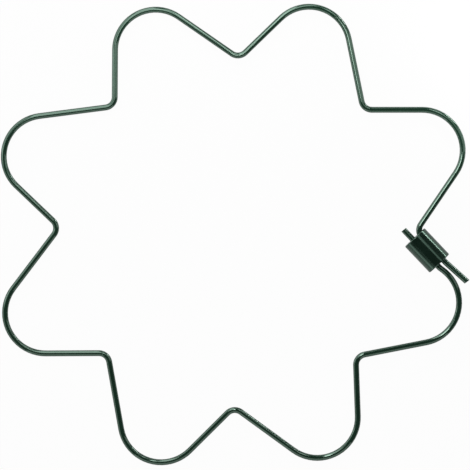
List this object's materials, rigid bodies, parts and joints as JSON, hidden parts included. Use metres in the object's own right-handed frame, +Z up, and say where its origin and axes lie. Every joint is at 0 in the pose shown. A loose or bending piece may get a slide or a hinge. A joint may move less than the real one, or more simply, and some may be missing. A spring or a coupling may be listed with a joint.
{
  "type": "plant support ring",
  "caption": "Flat plant support ring of green coated wire bent into rounded lobes, its two ends held side by side in a round sleeve.",
  "frame": {"origin": "middle of the ring, in the middle plane of the wire", "axes": "+Z up, square to the ring's plane; +X towards the side that the sleeve is on; +Y along the ring's other width"},
  "size_m": [0.312, 0.3073, 0.018],
  "materials": {
    "steel": "cut steel",
    "green_coating": "gloss",
    "sleeve_plastic": "gloss"
  },
  "bodies": {
    "ring": {"wire_core": "steel", "wire_coating": "green_coating"},
    "connector": {"sleeve": "sleeve_plastic"}
  },
  "joints": [
    {"name": "sleeve_slide", "type": "slide", "parent": "ring", "child": "connector", "axis": [0.6884, -0.7254, 0], "range_m": [0, 0.0015]}
  ]
}
